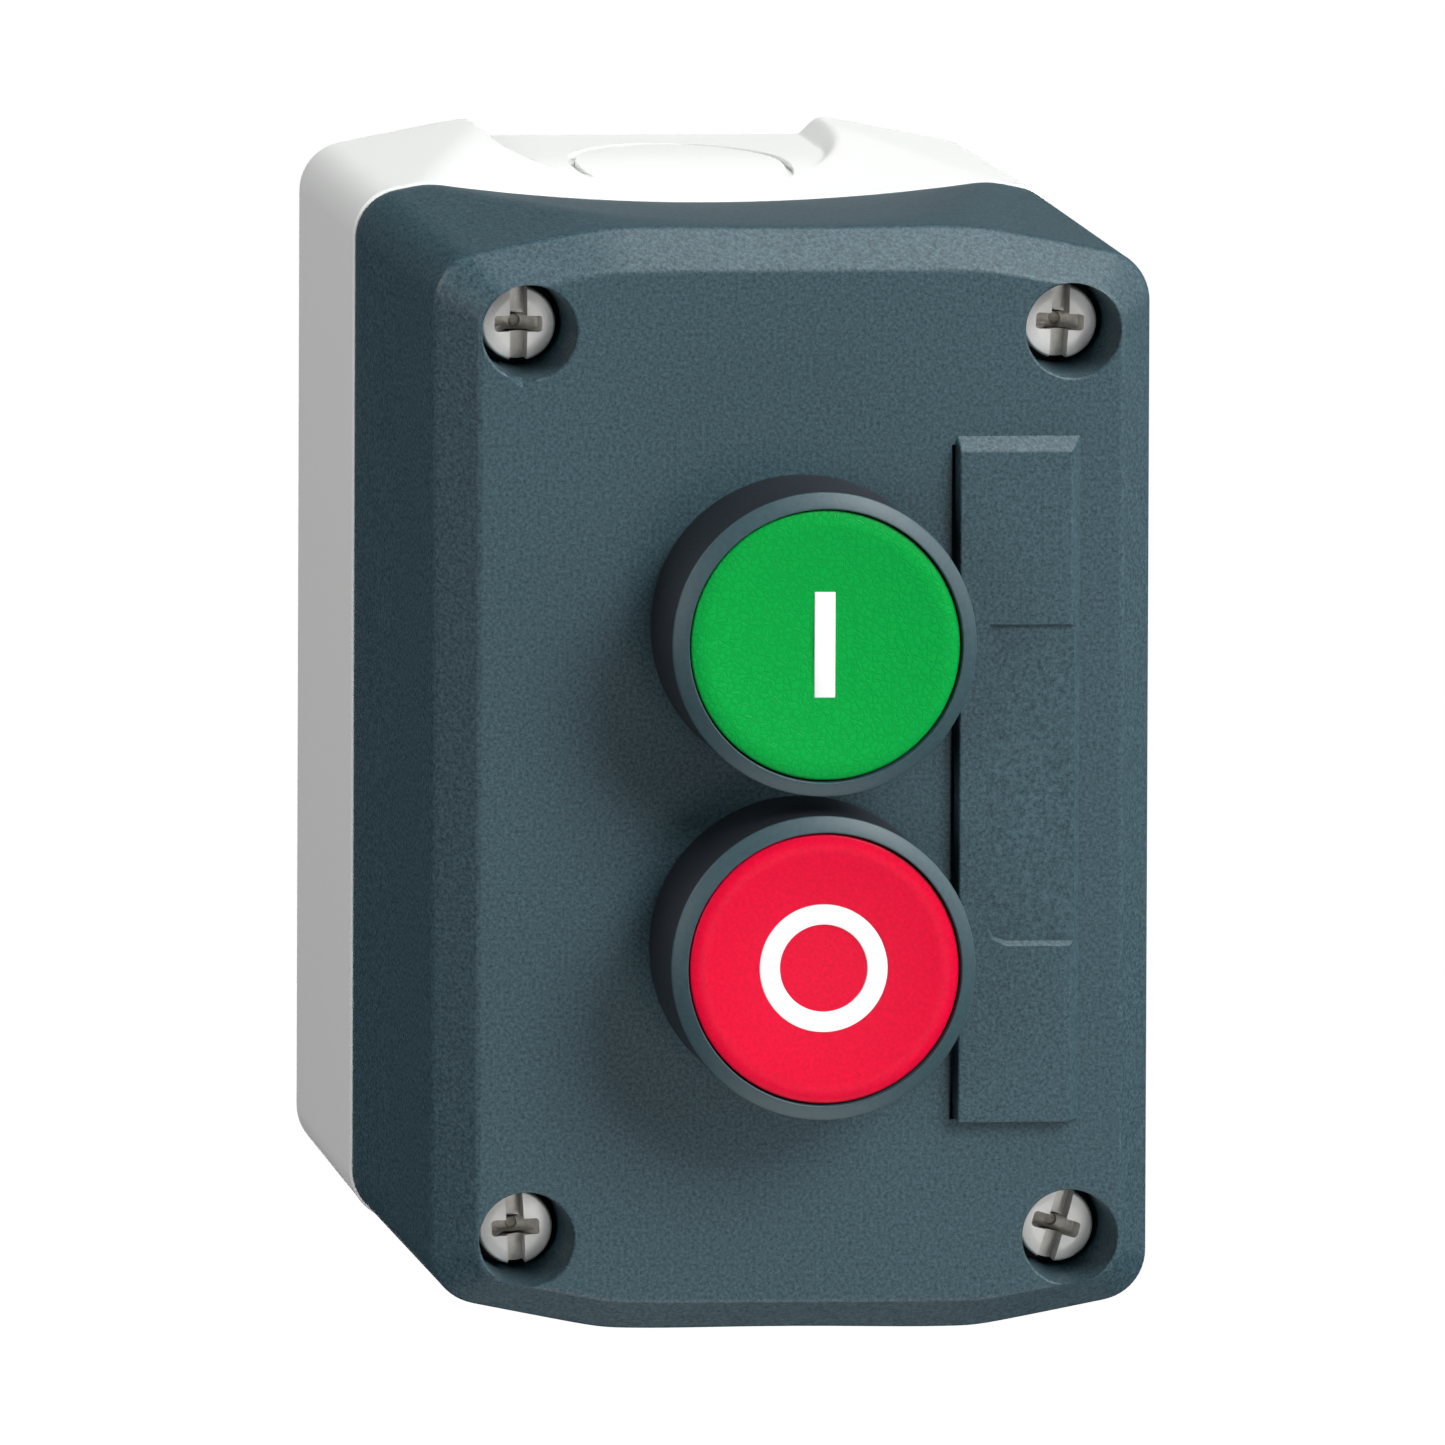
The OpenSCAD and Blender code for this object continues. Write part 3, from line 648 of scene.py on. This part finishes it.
def plated(name, color, roughness=0.28, grime_and_painted_shade=False):
    """Bright plated steel with turning marks and a few scuffs. Screw slots turn a mottled brown towards the
    bottom: partly grime, partly painted shade for the dark inside of the slot.
    """
    f = Finish(name, Metallic=1.0, Roughness=roughness)
    soft = f.noise(700, 5, 0.65)
    tone = f.mix(soft, shade(color, 0.84), shade(color, 1.08))
    if grime_and_painted_shade:
        depth = f.node("ShaderNodeSeparateXYZ", inputs={0: f.where}, out=1)
        # grime and painted shade: the deeper the surface sits below the head's top, the more it turns mottled
        # brown and less metallic
        grime_and_shade_depth = f.ramp((depth * (1 / MM) + SCREW_TOP) * 0.4 + f.noise(1500, 3, 0.6) * 0.12 - 0.06,
                      (0.1, (0.0,) * 3), (0.6, (0.3,) * 3), (0.85, (1.0,) * 3))
        tone = f.mix(grime_and_shade_depth, tone, f.mix(f.noise(1800, 3, 0.7), (0.16, 0.13, 0.1, 1), (0.95, 0.88, 0.76, 1)))
        f.feed("Metallic", 0.7 - grime_and_shade_depth * 0.5)
    f.feed("Base Color", tone)
    f.feed("Roughness", soft * 0.3 + (roughness - 0.12))
    f.bump(f.noise(2500, 3), 0.01 * MM)
    return f.material


def rubber(name, color):
    f = Finish(name, Roughness=0.8)
    fine = f.noise(2200, 3)
    f.feed("Base Color", f.mix(fine, shade(color, 0.8), shade(color, 1.25)))
    f.bump(fine, 0.02 * MM)
    return f.material


SLATE = (0.031, 0.065, 0.078)
FINISHES = {
    "base_plastic": moulded("light_grey_plastic", (0.73, 0.74, 0.73), 0.5, 0.4, 0.012, 0.015),
    "cover_plastic": moulded("slate_grained_plastic", SLATE, 0.5, 0.3, 0.05, 0.06, 0.42, speckle=0.75),
    # the second colour is painted shade for the head's shadowed skirt
    "bezel_plastic": slate_ring_painted_shade_skirt("slate_ring_painted_shade_skirt_plastic", SLATE, (0.013, 0.015, 0.020)),
    "start_green": leathered("green_leather_grain", (0.0, 0.33, 0.048)),
    "stop_red": moulded("red_satin_plastic", (0.68, 0.002, 0.032), 0.32, 0.3, 0.012, 0.05, 0.14,
                        speckle=0.12),
    "symbol_white": moulded("white_inlay", (0.88, 0.88, 0.88), 0.45, 0.3, 0.008, 0.01),
    "natural_plastic": moulded("natural_acetal", (0.66, 0.62, 0.52), 0.4, 0.3, 0.01, 0.03),
    "black_plastic": moulded("black_polyamide", (0.022, 0.025, 0.028), 0.5, 0.3, 0.02, 0.15),
    "block_grey": moulded("grey_polyamide", (0.07, 0.08, 0.085), 0.5, 0.3, 0.02, 0.1),
    "seal_rubber": rubber("seal_rubber", (0.015, 0.016, 0.018)),
    "plated_screw": plated("plated_steel", (0.95, 0.94, 0.91), 0.38, grime_and_painted_shade=True),
    "spring_steel": plated("spring_wire", (0.5, 0.51, 0.52), 0.35),
    "contact_brass": plated("contact_brass", (0.72, 0.55, 0.26), 0.3),
}


def wear(obj, slot):
    """Gives a piece the finish of its slot."""
    obj.data.materials.clear()
    obj.data.materials.append(FINISHES[slot])


# ---------------------------------------------------------------- put together
def add(obj, body, slot, *nodes):
    wear(obj, slot)
    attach(obj, body)
    if nodes:
        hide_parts(*nodes)
    return obj


# wire radius in mm, turns, body, fixed end in metres, and how much of the length is left when pressed
SPRINGS = {
    "start": {"return_spring": (0.45, 5, "enclosure", -0.054, 0.6875),
              "block_spring": (0.3, 6, "enclosure", -0.006, 0.579),
              "contact_spring": (0.25, 3, "start_carrier", -0.0225, 0.62)},
    "stop": {"return_spring": (0.45, 5, "enclosure", -0.054, 0.6875),
             "block_spring": (0.3, 4, "enclosure", -0.0155, 0.437),
             "contact_spring": (0.3, 3, "enclosure", -0.006, 0.458)},
}


def add_springs(side):
    """The three coil springs behind one button, each attached to its body."""
    for name, (wire, turns, body, fixed_end, keep) in SPRINGS[side].items():
        spring = add(coil(f"{side}_{name}_wire", f"{side}_{name}", wire, turns), body, "spring_steel",
                     f"{side}_{name}")
        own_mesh(spring)


def build_station():
    for entry in frame["record"]["subparts"]:
        node = frame["nodes"][entry["node"]]
        node.data.materials.clear()
        node.data.materials.append(FINISHES[entry["material_slot"]])
    add(make_base(), "enclosure", "base_plastic", "base")
    add(make_cover(), "enclosure", "cover_plastic", "cover")
    turns = {(-1, 1): 0, (1, 1): 3, (-1, -1): -3, (1, -1): 16}
    for (sx, sy), turn in turns.items():
        corner = ("upper" if sy > 0 else "lower") + ("_left" if sx < 0 else "_right")
        add(make_screw(f"cover_screw_{corner}", sx * SCREW_X, sy * SCREW_UP, turn),
                          "enclosure", "plated_screw")
    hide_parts("cover_screws")
    symbols = {"start": bar_symbol, "stop": ring_symbol}
    for side, sign in SIDES.items():
        up = sign * BUTTON_UP
        color = "start_green" if side == "start" else "stop_red"
        add(make_bezel(f"{side}_head", up), "enclosure", "bezel_plastic", f"{side}_bezel")
        add(make_cap(f"{side}_button_cap", up, symbols[side]("tool", up, 0.02)), f"{side}_button", color,
            f"{side}_cap")
        add(symbols[side](f"{side}_mark", up), f"{side}_button", "symbol_white", f"{side}_symbol")
        add_springs(side)


# ---------------------------------------------------------------- camera, light and floor
def make_camera():
    """A view camera: its picture plane stays nearly parallel to the cover, seen from the upper left."""
    distance = 1.08226    # in metres, straight out from the cover's face
    magnification = 8.0447    # focal length, in picture widths
    aside, below = 0.00669, 0.00543    # from the cover's middle to the picture's, as slopes
    sensor = 36
    right = Vector((1.0, -0.0173, -0.0011))
    upright = Vector((0.0011, 0.0197, 1.0))
    back = Vector((-0.2571, -1.0, 0.2249))
    eye = place(0, 0, FRONT) + back * distance
    centred = back + right * aside - upright * below
    camera = bpy.data.objects.new("camera", bpy.data.cameras.new("camera"))
    rig = bpy.data.objects.new("camera_rig", None)
    for obj in (camera, rig):
        bpy.context.scene.collection.objects.link(obj)
    camera.parent = rig
    camera.matrix_parent_inverse = Matrix([(right[i], upright[i], centred[i], eye[i]) for i in range(3)]
                                          + [(0, 0, 0, 1)])
    camera.data.sensor_width = sensor
    camera.data.lens = sensor * magnification * centred.length
    camera.data.clip_start, camera.data.clip_end = 0.05, 50
    bpy.context.scene.camera = camera


def soft_light(name, direction, power, size=0.5, distance=1.0):
    """A round area light in that direction, aimed at the middle of the object."""
    data = bpy.data.lights.new(name, "AREA")
    data.shape, data.size, data.energy = "DISK", size, power
    obj = bpy.data.objects.new(name, data)
    bpy.context.scene.collection.objects.link(obj)
    middle = place(0, 0, 30)
    obj.location = middle + Vector(direction).normalized() * distance
    obj.rotation_euler = (middle - obj.location).to_track_quat("-Z", "Y").to_euler()


def make_stage():
    """A white surround and a pale floor that only the camera sees, and ten soft lights."""
    scene = bpy.context.scene
    scene.view_settings.view_transform = "Standard"
    world = bpy.data.worlds.new("white_surround")
    scene.world = world
    world.use_nodes = True
    world.node_tree.nodes["Background"].inputs["Color"].default_value = (1, 1, 1, 1)
    world.cycles_visibility.diffuse = world.cycles_visibility.glossy = False
    soft_light("key", (0.5, -0.6, 0.6), 10.0)
    soft_light("overhead", (0.32, -0.2, 0.93), 5.6)
    soft_light("right_fill", (1.0, -0.1, 0.1), 1.5)
    soft_light("left_fill", (-0.85, 0.15, 0.45), 4.7)
    soft_light("front_left", (-0.7, -0.7, 0.1), 3.0)
    soft_light("front_right", (0.85, -0.5, 0.25), 2.4)
    soft_light("low_front", (0.1, -0.45, -0.9), 0.6, 0.3, 0.35)
    soft_light("low_card", (0.24, -0.95, -0.21), 0.85, 0.4)
    soft_light("back_card", (0.25, 0.95, 0.3), 0.18)
    soft_light("back_fill", (0.35, 1.0, -0.35), 3.0)
    reach, surface, thickness = 4000, -1000, 20
    floor = block("floor", -reach, reach, surface - thickness, surface, -reach, reach)
    paint = Finish("pale_floor", Base_Color=(0.95, 0.95, 0.95, 1), Roughness=0.9)
    paint.shader.inputs["Emission Color"].default_value = (1, 1, 1, 1)
    paint.shader.inputs["Emission Strength"].default_value = 1.0
    floor.data.materials.append(paint.material)
    floor.visible_diffuse = floor.visible_glossy = False


make_camera()
build_station()
make_stage()
